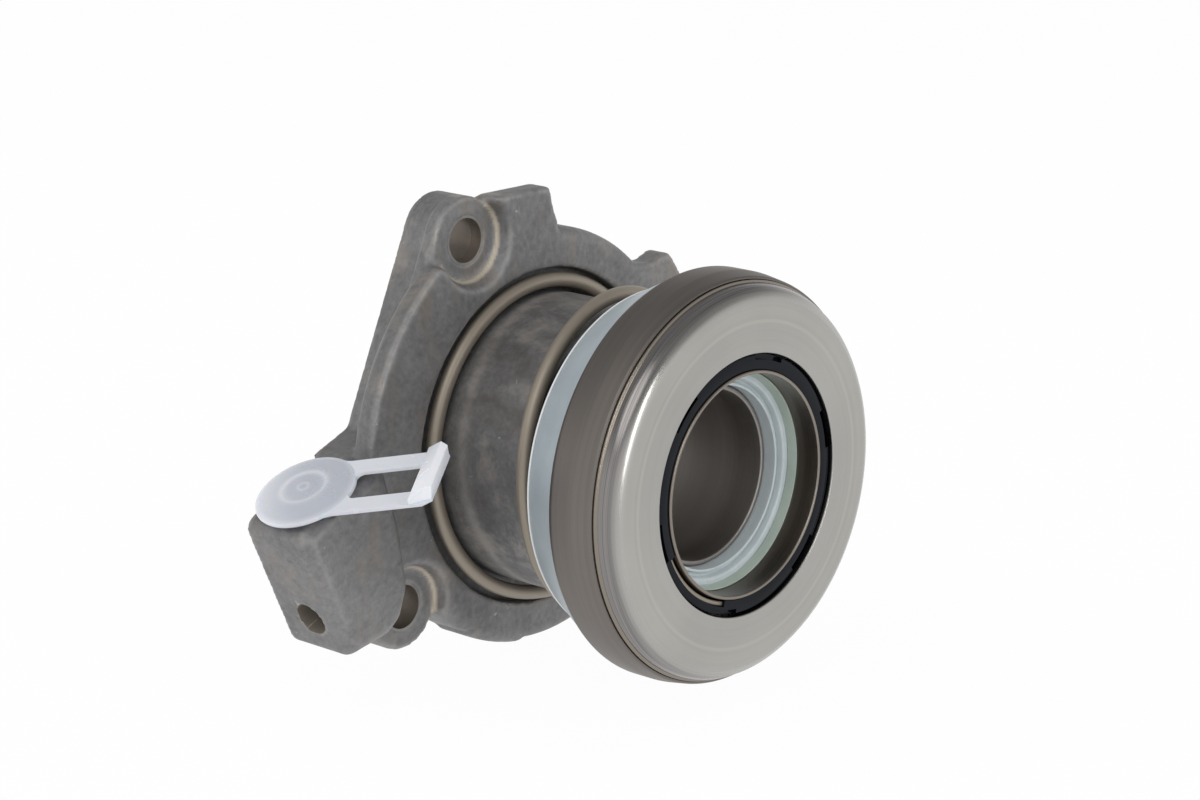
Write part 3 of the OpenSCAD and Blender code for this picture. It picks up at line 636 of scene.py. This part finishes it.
for name, spec, node, body, slot, finish in (
    ("contactRing", contactRing, "contact_ring", "contact_body", "bearing_steel", contactSteel),
    ("bearingShell", bearingShell, "bearing_shell", "piston_body", "shell_steel", shellSteel),
    ("springSeat", springSeat, "spring_seat", "piston_body", "pale_plastic", seatPlastic),
    ("carrierTube", carrierTube, "carrier_tube", "piston_body", "drawn_steel", tubeSteel),
    ("guideRing", guideRing, "guide_ring", "piston_body", "white_plastic", ringPlastic),
    ("wiperRing", wiperRing, "wiper_ring", "piston_body", "green_plastic", wiperPlastic),
    ("guideSleeve", guideSleeve, "guide_sleeve", "housing_body", "sleeve_steel", sleeveSteel),
):
    piece = dress(turnPiece(name, spec["outline"]), finish, 32)
    standFor(piece, node, body)
print("turned pieces made")


# Spring: a coil with closed ends, swept along its own path

springCoil = {
    "radius": 23.8, "wire": 1.1, "startAngle": 320.0, "closedTurns": 0.74, "openTurns": 0.92,
    "startZ": 7.75, "closedPitch": 2.45, "rise": 15.92, "pathPoints": 300, "wireSides": 20,
}


def makeCoilTree():
    tree = bpy.data.node_groups.new("coilPath", "GeometryNodeTree")
    tree.interface.new_socket("Geometry", in_out="OUTPUT", socket_type="NodeSocketGeometry")
    for kind, labels in (
        ("NodeSocketFloat", ("Radius", "Wire", "Start Angle", "Closed Turns", "Open Turns", "Start Height",
                             "Closed Pitch", "Rise")),
        ("NodeSocketInt", ("Path Points", "Wire Sides")),
        ("NodeSocketMaterial", ("Finish",)),
    ):
        for label in labels:
            tree.interface.new_socket(label, in_out="INPUT", socket_type=kind)
    start = tree.nodes.new("NodeGroupInput").outputs
    link = tree.links.new
    line = tree.nodes.new("GeometryNodeCurvePrimitiveLine")
    path = tree.nodes.new("GeometryNodeResampleCurve")
    link(line.outputs[0], path.inputs["Curve"])
    link(start["Path Points"], path.inputs["Count"])
    along = tree.nodes.new("GeometryNodeSplineParameter").outputs["Factor"]
    turns = reckon(tree, "ADD", reckon(tree, "MULTIPLY", start["Closed Turns"], 2.0), start["Open Turns"])
    turn = reckon(tree, "MULTIPLY", along, turns)
    angle = reckon(tree, "ADD", start["Start Angle"], reckon(tree, "MULTIPLY", turn, 2 * math.pi))
    openEnd = reckon(tree, "ADD", start["Closed Turns"], start["Open Turns"])
    ease = remap(tree, turn, start["Closed Turns"], openEnd, smooth=True)
    height = reckon(tree, "ADD", start["Start Height"], reckon(tree, "MULTIPLY", turn, start["Closed Pitch"]))
    height = reckon(tree, "ADD", height, reckon(tree, "MULTIPLY", ease, start["Rise"]))
    place = tree.nodes.new("ShaderNodeCombineXYZ")
    link(reckon(tree, "MULTIPLY", reckon(tree, "COSINE", angle), start["Radius"]), place.inputs[0])
    link(reckon(tree, "MULTIPLY", height, -1.0), place.inputs[1])
    link(reckon(tree, "MULTIPLY", reckon(tree, "SINE", angle), start["Radius"]), place.inputs[2])
    move = tree.nodes.new("GeometryNodeSetPosition")
    link(path.outputs[0], move.inputs["Geometry"])
    link(place.outputs[0], move.inputs["Position"])
    circle = tree.nodes.new("GeometryNodeCurvePrimitiveCircle")
    link(start["Wire Sides"], circle.inputs["Resolution"])
    link(start["Wire"], circle.inputs["Radius"])
    sweep = tree.nodes.new("GeometryNodeCurveToMesh")
    sweep.inputs["Fill Caps"].default_value = True
    link(move.outputs[0], sweep.inputs["Curve"])
    link(circle.outputs[0], sweep.inputs["Profile Curve"])
    whole = tree.nodes.new("GeometryNodeRealizeInstances")
    link(sweep.outputs[0], whole.inputs[0])
    paint = tree.nodes.new("GeometryNodeSetMaterial")
    link(whole.outputs[0], paint.inputs["Geometry"])
    link(start["Finish"], paint.inputs["Material"])
    link(paint.outputs[0], tree.nodes.new("NodeGroupOutput").inputs[0])
    return tree


def makeSpring(coil):
    piece = addPiece("preloadSpring", bpy.data.meshes.new("preloadSpring"))
    tree = makeCoilTree()
    modifier = piece.modifiers.new("coilPath", "NODES")
    modifier.node_group = tree
    values = {
        "Radius": coil["radius"] * mm, "Wire": coil["wire"] * mm,
        "Start Angle": math.radians(coil["startAngle"]), "Start Height": coil["startZ"] * mm,
        "Closed Turns": coil["closedTurns"], "Open Turns": coil["openTurns"],
        "Closed Pitch": coil["closedPitch"] * mm, "Rise": coil["rise"] * mm,
        "Path Points": coil["pathPoints"], "Wire Sides": coil["wireSides"], "Finish": wireSteel,
    }
    for socket in tree.interface.items_tree:
        if socket.in_out == "INPUT":
            modifier[socket.identifier] = values[socket.name]
    bakePiece(piece)
    faceOutward(piece.data)
    smoothBelow(piece.data, 50)
    standFor(piece, "preload_spring", "housing_body")
    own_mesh(piece)


makeSpring(springCoil)
print("spring swept")


# Mesh values and cutters for the casting, the plug and the gap rings

def pointsOf(mesh, field="co"):
    values = np.empty(len(mesh.vertices) * 3)
    mesh.vertices.foreach_get(field, values)
    return values.reshape(-1, 3)


def edgesOf(mesh):
    edges = np.empty(len(mesh.edges) * 2, dtype=np.int64)
    mesh.edges.foreach_get("vertices", edges)
    return edges.reshape(-1, 2)


def setPoints(mesh, points):
    mesh.vertices.foreach_set("co", points.ravel())
    mesh.update()


def paintPoints(mesh, name, values):
    layer = mesh.attributes.new(name, "FLOAT", "POINT")
    layer.data.foreach_set("value", values.astype(np.float32))


def neighbourMean(values, edges, count):
    total = np.empty_like(values)
    for k in range(values.shape[1]):
        total[:, k] = (np.bincount(edges[:, 0], values[edges[:, 1], k], count)
                       + np.bincount(edges[:, 1], values[edges[:, 0], k], count))
    share = np.bincount(edges.ravel(), minlength=count)
    return total / np.maximum(share, 1)[:, None]


def easeEdges(mesh, rounds, weight):  # each round smooths and then swells back, so nothing shrinks
    points = pointsOf(mesh)
    edges = edgesOf(mesh)
    for k in range(rounds):
        for step in (0.52, -0.50):
            points += (neighbourMean(points, edges, len(points)) - points) * (step * weight)[:, None]
    setPoints(mesh, points)


def markEdges(mesh, rounds=2):  # edgeMask is above 0 on outward edges and below 0 in hollows
    points = pointsOf(mesh)
    edges = edgesOf(mesh)
    normals = pointsOf(mesh, "normal")
    way = points[edges[:, 1]] - points[edges[:, 0]]
    way /= np.maximum(np.linalg.norm(way, axis=1), 1e-9)[:, None]
    total = (np.bincount(edges[:, 0], -(normals[edges[:, 0]] * way).sum(1), len(points))
             + np.bincount(edges[:, 1], (normals[edges[:, 1]] * way).sum(1), len(points)))
    mask = (total / np.maximum(np.bincount(edges.ravel(), minlength=len(points)), 1))[:, None]
    for k in range(rounds):
        mask = 0.5 * mask + 0.5 * neighbourMean(mask, edges, len(points))
    paintPoints(mesh, "edgeMask", mask[:, 0])


def drill(start, end, radius, sides=96):  # one cutter, from start to end
    cutter = bmesh.new()
    bmesh.ops.create_cone(cutter, cap_ends=True, segments=sides, radius1=radius, radius2=radius,
                          depth=(end - start).length)
    turn = (end - start).to_track_quat("Z", "Y").to_matrix().to_4x4()
    bmesh.ops.transform(cutter, matrix=Matrix.Translation((start + end) / 2) @ turn, verts=cutter.verts)
    mesh = bpy.data.meshes.new("cutter")
    cutter.to_mesh(mesh)
    cutter.free()
    return addPiece("cutter", mesh)


def sector(turnFrom, turnTo, inner, outer, low, high, steps=24):  # a cutter about the shaft
    ways = [turnFrom + (turnTo - turnFrom) * k / steps for k in range(steps + 1)]
    outline = [polar(outer, a) for a in ways] + [polar(inner, a) for a in reversed(ways)]
    count = len(outline)
    verts = [rowPoint(x, y, z) for z in (low, high) for x, y in outline]
    faces = [(i, (i + 1) % count, (i + 1) % count + count, i + count) for i in range(count)]
    for base in (0, count):
        faces += [(base + k, base + k + 1, base + count - 2 - k, base + count - 1 - k) for k in range(steps)]
    mesh = makeMesh("cutter", verts, faces)
    faceOutward(mesh)
    return addPiece("cutter", mesh)


def cutAway(piece, cutters):
    for cutter in cutters:
        modifier = piece.modifiers.new("cut", "BOOLEAN")
        modifier.operation = "DIFFERENCE"
        modifier.solver = "EXACT"
        modifier.object = cutter
    bakePiece(piece)
    for cutter in cutters:
        bpy.data.objects.remove(cutter)


def dropStrays(mesh, least):  # small leftovers of the cuts that no clean edge joins to the rest
    with editing(mesh) as work:
        seen = set()
        strays = []
        for face in work.faces:
            if face in seen:
                continue
            seen.add(face)
            island = [face]
            for member in island:
                for edge in member.edges:
                    if len(edge.link_faces) == 2:
                        fresh = [f for f in edge.link_faces if f not in seen]
                        seen.update(fresh)
                        island += fresh
            if len(island) < least:
                strays += island
        bmesh.ops.delete(work, geom=strays, context="FACES")


# Casting: a dense copy of the solid with its edges eased and its holes cut again

castHousing = {  # millimetres and degrees, but the voxel in metres
    "voxel": 0.00046, "easeRounds": 22, "boreClear": 21.2, "boreFade": 0.5, "leastIsland": 200,
    "rearPick": 0.01, "rearReach": 1.5, "rearFlat": 0.06, "rearWeld": 0.08,
    "lugAngles": (113.5, 217.0, 345.0), "lugCircle": 34.7, "lugT": 6.5, "lugSlack": 0.05, "holeR": 3.44,
    "linerR": 3.27, "linerWall": 0.3, "linerLow": 0.02, "linerTop": 0.015, "linerRound": 0.12,
    "footR": 6.1, "footW": 0.26, "footZ": (6.3, 7.4), "footReach": 5, "footShare": 0.8,
    "port": (-46.2, -0.3, 7.0), "portAngle": 116.0,
    "bleedDown": 15.9, "bleedR": 2.62, "bleedSpan": (2.0, 13.0), "bleedSlack": 0.02, "bleedLap": 0.1,
    "bleedCut": 0.4, "bleedHighlight": 0.6,
    "chamber": [(13.2, 4.19, 0.0), (19.02, 4.19, 0.0), (19.02, 22.0, 0.0), (13.2, 22.0, 0.0)],
    "mouthR": 21.3, "mouthZ": 24.8,
    "stainReach": (33, 37.5), "stainShare": 0.25, "outerReach": 29, "outerTurns": (95, 172),
    "wallR": 22.0, "wallHalf": 0.5, "wallZ": 6,
    "bandZ": 12.6, "bandTurn": 155, "bandLean": 0.036, "bandW": 1.2, "bandShare": 0.62,
}


def pushRear(mesh, spec):  # carries the mounting face back, to be flattened again later
    points = pointsOf(mesh)
    points[points[:, 1] > -spec["rearPick"] * mm, 1] = spec["rearReach"] * mm
    setPoints(mesh, points)


def flattenRear(mesh, spec):
    points = pointsOf(mesh)
    points[points[:, 1] > -spec["rearFlat"] * mm, 1] = 0.0
    setPoints(mesh, points)
    with editing(mesh) as work:
        rear = [v for v in work.verts if v.co.y == 0.0]
        bmesh.ops.remove_doubles(work, verts=rear, dist=spec["rearWeld"] * mm)


def easedCopy(spec):
    piece = copyOfNode("housing", "castHousing")
    solid = copyOfNode("housing", "layTarget")
    for copy in (piece, solid):
        pushRear(copy.data, spec)
    modifier = piece.modifiers.new("evenMesh", "REMESH")
    modifier.mode = "VOXEL"
    modifier.voxel_size = spec["voxel"]
    modifier.use_smooth_shade = True
    bakePiece(piece)
    modifier = piece.modifiers.new("layOn", "SHRINKWRAP")  # draws the even mesh back onto the solid
    modifier.target = solid
    modifier.wrap_method = "NEAREST_SURFACEPOINT"
    bakePiece(piece)
    bpy.data.objects.remove(solid)
    points = pointsOf(piece.data)
    radius = np.hypot(points[:, 0], points[:, 2]) / mm
    weight = np.clip((radius - spec["boreClear"]) / spec["boreFade"], 0, 1)
    easeEdges(piece.data, spec["easeRounds"], weight)
    flattenRear(piece.data, spec)
    return piece


def bleedFrame(spec):  # a point on the port's axis, the way across it and the port's way out
    out = Vector(polar(1, spec["portAngle"]))
    across = Vector((out.y, -out.x))
    return Vector(spec["port"][:2]) - out * spec["bleedDown"], across, out


def cutHousing(piece, spec, lugs):
    top = spec["lugT"] + 1
    cutters = [drill(rowPoint(x, y, -1), rowPoint(x, y, top), spec["holeR"] * mm) for x, y in lugs]
    low, across = bleedFrame(spec)[:2]
    ends = [rowPoint(*(low - across * d), spec["port"][2]) for d in spec["bleedSpan"]]
    cutters.append(drill(*ends, spec["bleedR"] * mm))
    cutters.append(turnPiece("cutter", spec["chamber"]))
    cutAway(piece, cutters)
    dropStrays(piece.data, spec["leastIsland"])


def lineLugs(piece, spec, lugs):  # a clean tube in each lug hole
    inner, outer = spec["linerR"], spec["holeR"] + spec["linerWall"]
    low, high = spec["linerLow"], spec["lugT"] - spec["linerTop"]
    outline = [(inner, low, 0.0), (outer, low, 0.0), (outer, high, 0.0), (inner, high, spec["linerRound"])]
    with editing(piece.data) as work:
        for x, y in lugs:
            liner = turnPiece("liner", outline, turns=72)
            liner.data.transform(Matrix.Translation(rowPoint(x, y, 0)))
            work.from_mesh(liner.data)
            bpy.data.objects.remove(liner)


def paintHousing(mesh, spec, lugs):
    points = pointsOf(mesh)
    x, y, z = points[:, 0] / mm, points[:, 2] / mm, -points[:, 1] / mm
    reach = np.hypot(x, y)
    turn = np.degrees(np.arctan2(y, x))
    upright = 1 - np.abs(pointsOf(mesh, "normal")[:, 1])
    steep = np.clip(upright * 4 - 3, 0, 1)
    low, across, out = bleedFrame(spec)
    side = (x - low.x) * out.x + (y - low.y) * out.y
    depth = -((x - low.x) * across.x + (y - low.y) * across.y)
    bleed = np.hypot(side, z - spec["port"][2]) < spec["bleedR"] + spec["bleedSlack"]
    bleed &= depth > spec["bleedSpan"][0] - spec["bleedLap"]
    machined = np.maximum(spec["bleedCut"] * bleed, (reach < spec["mouthR"]) & (z > spec["mouthZ"]))
    # the bleed hole is painted paler: a painted highlight on its wall
    footAndBleedHighlight = spec["bleedHighlight"] * bleed
    footLow, footHigh = spec["footZ"]
    for lugX, lugY in lugs:
        away = np.hypot(x - lugX, y - lugY)
        hole = (away < spec["linerR"] + spec["lugSlack"]) & (z < spec["lugT"] + spec["lugSlack"])
        machined = np.maximum(machined, hole)
        # a painted highlight line along the foot of each spotface
        line = np.exp(-((away - spec["footR"]) / spec["footW"]) ** 2) * ((z > footLow) & (z < footHigh))
        line *= np.clip(upright * 5 - 0.3, 0, 1)
        footAndBleedHighlight = np.maximum(footAndBleedHighlight, line * (reach < spec["lugCircle"] + spec["footReach"]))
    stainFrom, stainTo = spec["stainReach"]
    stained = (reach > stainFrom) & (reach < stainTo) & (x < 0)
    turnFrom, turnTo = spec["outerTurns"]
    outerWall = steep * ((reach > spec["outerReach"]) & (turn > turnFrom) & (turn < turnTo))
    cylinderWall = steep * (np.abs(reach - spec["wallR"]) < spec["wallHalf"]) * (z > spec["wallZ"])
    bandZ = spec["bandZ"] + spec["bandLean"] * (turn % 360 - spec["bandTurn"])
    wallBand = spec["bandShare"] * cylinderWall * np.exp(-((z - bandZ) / spec["bandW"]) ** 2)
    paintPoints(mesh, "machined", machined)
    paintPoints(mesh, "stained", spec["stainShare"] * np.clip(upright, 0, 1) * stained)
    paintPoints(mesh, "outerWall", outerWall)
    paintPoints(mesh, "footAndBleedHighlight", footAndBleedHighlight * spec["footShare"])
    paintPoints(mesh, "cylinderWall", cylinderWall)
    paintPoints(mesh, "wallBand", wallBand)
    markEdges(mesh)


def makeHousing(spec):
    piece = easedCopy(spec)
    lugs = [polar(spec["lugCircle"], a) for a in spec["lugAngles"]]
    cutHousing(piece, spec, lugs)
    lineLugs(piece, spec, lugs)
    paintHousing(piece.data, spec, lugs)
    dress(piece, castAluminium, 38)
    standFor(piece, "housing", "housing_body")
    print("housing has", len(piece.data.polygons), "faces")


# Plug: a turned stem and disc with a flat loop

portPlug = {  # millimetres: u runs along the loop, w across it, heights from the port's mouth
    "port": (-46.2, -0.3, 7.0), "portAngle": 116.0, "loopAngle": -63.6,
    "stem": [
        (0.02, 0.9, 0.0), (4.1, 0.9, 0.1), (4.1, -7.5, 0.1), (4.7, -7.5, 0.1), (5.1, -7.0, 0.2),
        (5.1, 0.05, 0.0), (6.0, 0.05, 0.1), (6.0, 0.9, 0.1), (7.45, 0.9, 0.15), (7.6, 1.2, 0.12),
        (7.52, 1.55, 0.12)],
    "crownR": (7.25, 6.6, 5.8, 5.0, 4.3, 3.8, 3.5, 3.35, 3.2, 3.05, 2.9, 2.5, 2.0, 1.5, 1.2, 1.0, 0.8, 0.6,
               0.4, 0.2, 0.02),
    "rim": 1.66, "dome": 0.95, "dishR": 3.2, "dish": 0.22, "dishEdge": 0.12,
    "dotR": 0.8, "dot": 0.10, "dotW": 0.25,
    "discR": 7.55, "loopW": 5.9, "windowW": 2.9, "reach": 20.8, "barU": 17.6, "cut": 1.4, "cutSlope": 0.7,
    "footRound": 3, "windowRound": 1, "discLap": 0.2, "armLow": 0.95, "armHigh": 1.6, "edge": 0.14,
    "bar": [(17.5, 0.95), (20.0, 0.95), (20.8, 1.5), (21.3, 3.4), (20.2, 3.65), (17.7, 2.4)],
    "paleRings": ((3.35, 0.45, 0.40), (0.8, 0.25, 0.30), (7.5, 0.35, 0.45)),  # radius, width, share
    # the disc is painted paler towards this side: painted light
    "paintedLightSide": (-0.674, 0.739, 0.0), "paintedLightReach": 7.6, "paintedLightShare": 0.75, "paleMost": 0.85,
    "armPale": 0.5, "barPale": 1.0,
}


def arc(u, w, r, first, last, steps=10):
    ways = [polar(r, first + (last - first) * k / steps) for k in range(steps + 1)]
    return [(u + x, w + y) for x, y in ways]


def loopOutline(spec):  # a U of two arms and the bar, its feet rounded into the disc
    disc, half, window = spec["discR"], spec["loopW"], spec["windowW"]
    foot, inside = spec["footRound"], spec["windowRound"]
    outerU = math.sqrt((disc + foot) ** 2 - (half + foot) ** 2)
    innerU = math.sqrt((disc + inside) ** 2 - (window - inside) ** 2)
    outerA = math.degrees(math.atan2(half + foot, outerU))
    innerA = math.degrees(math.atan2(window - inside, innerU))
    end, cut = spec["reach"], spec["cut"]
    upper = [(end, half - cut * spec["cutSlope"]), (end - cut, half)]
    upper += arc(outerU, half + foot, foot, -90, outerA - 180)
    upper += arc(0, 0, disc - spec["discLap"], outerA, innerA)
    upper += arc(innerU, window - inside, inside, 180 + innerA, 90)
    upper += [(spec["barU"], window)]
    return upper + [(u, -w) for u, w in reversed(upper)]


def flatPlate(outline, low, high, edge):
    curve = bpy.data.curves.new("plate", "CURVE")
    curve.dimensions = "2D"
    curve.fill_mode = "BOTH"
    curve.extrude = (high - low) / 2 - edge
    curve.bevel_depth = edge
    curve.bevel_resolution = 2
    curve.offset = -edge
    spline = curve.splines.new("POLY")
    spline.points.add(len(outline) - 1)
    for point, (u, w) in zip(spline.points, outline):
        point.co = (u, w, 0, 1)
    spline.use_cyclic_u = True
    holder = addPiece("plate", curve)
    mesh = evaluatedMesh(holder)
    bpy.data.objects.remove(holder)
    mesh.transform(Matrix.Translation((0, 0, (low + high) / 2)))
    return mesh


def crossBar(spec):
    verts = []
    for side in (-1, 1):
        for u, h in spec["bar"]:
            past = max(0.0, u - spec["reach"] + spec["cut"])
            verts.append((u, side * (spec["loopW"] - spec["cutSlope"] * past), h))
    count = len(spec["bar"])
    faces = [tuple(range(count)), tuple(range(count, 2 * count))]
    faces += [(i, (i + 1) % count, (i + 1) % count + count, i + count) for i in range(count)]
    mesh = makeMesh("bar", verts, faces)
    with editing(mesh) as work:
        bmesh.ops.recalc_face_normals(work, faces=work.faces)
        bmesh.ops.bevel(work, geom=list(work.edges), offset=spec["edge"], segments=3, profile=0.5,
                        affect="EDGES")
    return mesh


def crownOutline(spec):  # a low dome with a shallow dish and a raised dot in its middle
    crown = []
    for r in spec["crownR"]:
        h = spec["rim"] + spec["dome"] * (1 - (r / spec["crownR"][0]) ** 2)
        h -= spec["dish"] / (1 + math.exp((r - spec["dishR"]) / spec["dishEdge"]))
        crown.append((r, h + spec["dot"] * math.exp(-((r - spec["dotR"]) / spec["dotW"]) ** 2), 0.0))
    return crown


def makePlug(spec):
    piece = turnPiece("portPlug", spec["stem"] + crownOutline(spec), turns=160)
    turn = math.radians(spec["portAngle"])
    out = Vector((math.cos(turn), 0, math.sin(turn)))
    across = Vector((math.sin(turn), 0, -math.cos(turn)))
    back = Vector((0, 1, 0))
    foot = Matrix.Translation(rowPoint(*spec["port"]))
    piece.data.transform(foot @ Matrix((across, -out, back)).transposed().to_4x4())
    swing = math.radians(spec["loopAngle"])
    along = across * math.cos(swing) + back * math.sin(swing)
    side = back * math.cos(swing) - across * math.sin(swing)
    place = foot @ Matrix((along, side, out)).transposed().to_4x4() @ Matrix.Scale(mm, 4)
    plate = flatPlate(loopOutline(spec), spec["armLow"], spec["armHigh"], spec["edge"])
    discVerts = len(piece.data.vertices)
    armVerts = discVerts + len(plate.vertices)
    with editing(piece.data) as work:
        for mesh in (plate, crossBar(spec)):
            mesh.transform(place)
            work.from_mesh(mesh)
        bmesh.ops.recalc_face_normals(work, faces=work.faces)
    points = pointsOf(piece.data)
    away = points / mm - np.array(rowPoint(*spec["port"])) / mm
    radius = np.linalg.norm(away - (away @ np.array(out))[:, None] * np.array(out), axis=1)
    pale = sum(share * np.exp(-((radius - r) / width) ** 2) for r, width, share in spec["paleRings"])
    # painted light: the disc grows paler towards one side
    paintedSideLight = np.clip(away @ np.array(spec["paintedLightSide"]) / spec["paintedLightReach"], 0, 1)
    pale += spec["paintedLightShare"] * paintedSideLight ** 1.5
    milkAndPaintedLight = np.where(np.arange(len(points)) < armVerts, spec["armPale"], spec["barPale"])
    milkAndPaintedLight[:discVerts] = np.clip(pale, 0, spec["paleMost"])[:discVerts]
    paintPoints(piece.data, "milkAndPaintedLight", milkAndPaintedLight)
    dress(piece, plugPlastic, 34)
    standFor(piece, "port_plug", "plug_body")
    print("plug has", len(piece.data.polygons), "faces")


# Rings in the annular gap

retainingRing = {
    "outline": [
        (17.05, 45.75, 0.05), (18.98, 45.75, 0.1), (18.98, 48.6, 0.25), (16.8, 48.6, 0.1), (16.8, 48.2, 0.05),
        (17.82, 48.2, 0.03), (17.82, 47.38, 0.03), (17.05, 47.38, 0.05)],
    "notches": (15.0, 75.0, 135.0, 195.0, 255.0, 315.0), "notchHalf": 9.3, "notchR": (18.2, 20.0),
    "notchZ": (47.8, 50.0), "window": (205.0, 255.0), "windowR": (16.5, 17.8), "windowZ": (47.9, 50.0),
}
snapRing = {
    "outline": [(17.06, 47.45, 0.2), (17.75, 47.45, 0.2), (17.75, 48.15, 0.2), (17.06, 48.15, 0.2)],
    "gap": (53.0, 67.0), "gapR": (16.0, 19.0), "gapZ": (46.0, 50.0),
}


def makeGapRings(black, wire):
    piece = turnPiece("retainingRing", black["outline"])
    half = black["notchHalf"]
    cutters = [sector(a - half, a + half, *black["notchR"], *black["notchZ"]) for a in black["notches"]]
    cutters.append(sector(*black["window"], *black["windowR"], *black["windowZ"]))
    cutAway(piece, cutters)
    standFor(dress(piece, blackPlastic, 30), "retaining_ring", "piston_body")
    piece = turnPiece("snapRing", wire["outline"], turns=160)
    cutAway(piece, [sector(*wire["gap"], *wire["gapR"], *wire["gapZ"])])
    standFor(dress(piece, wireSteel, 30), "snap_ring", "piston_body")


makeHousing(castHousing)
makePlug(portPlug)
makeGapRings(retainingRing, snapRing)
print("casting, plug and gap rings made")

# Inner pieces keep their solids
for node, finish in (
    ("sleeve_o_ring", sealRubber), ("face_o_ring", sealRubber), ("stop_ring", wireSteel),
    ("piston", darkPlastic), ("piston_seal", sealRubber), ("fixed_race", bearingSteel),
    ("centring_washer", tubeSteel),
    ("grease_seal", sealRubber), ("ball_cage", cagePlastic), ("balls", bearingSteel),
):
    dress(cadNodes[node], finish)
print("inner pieces dressed")
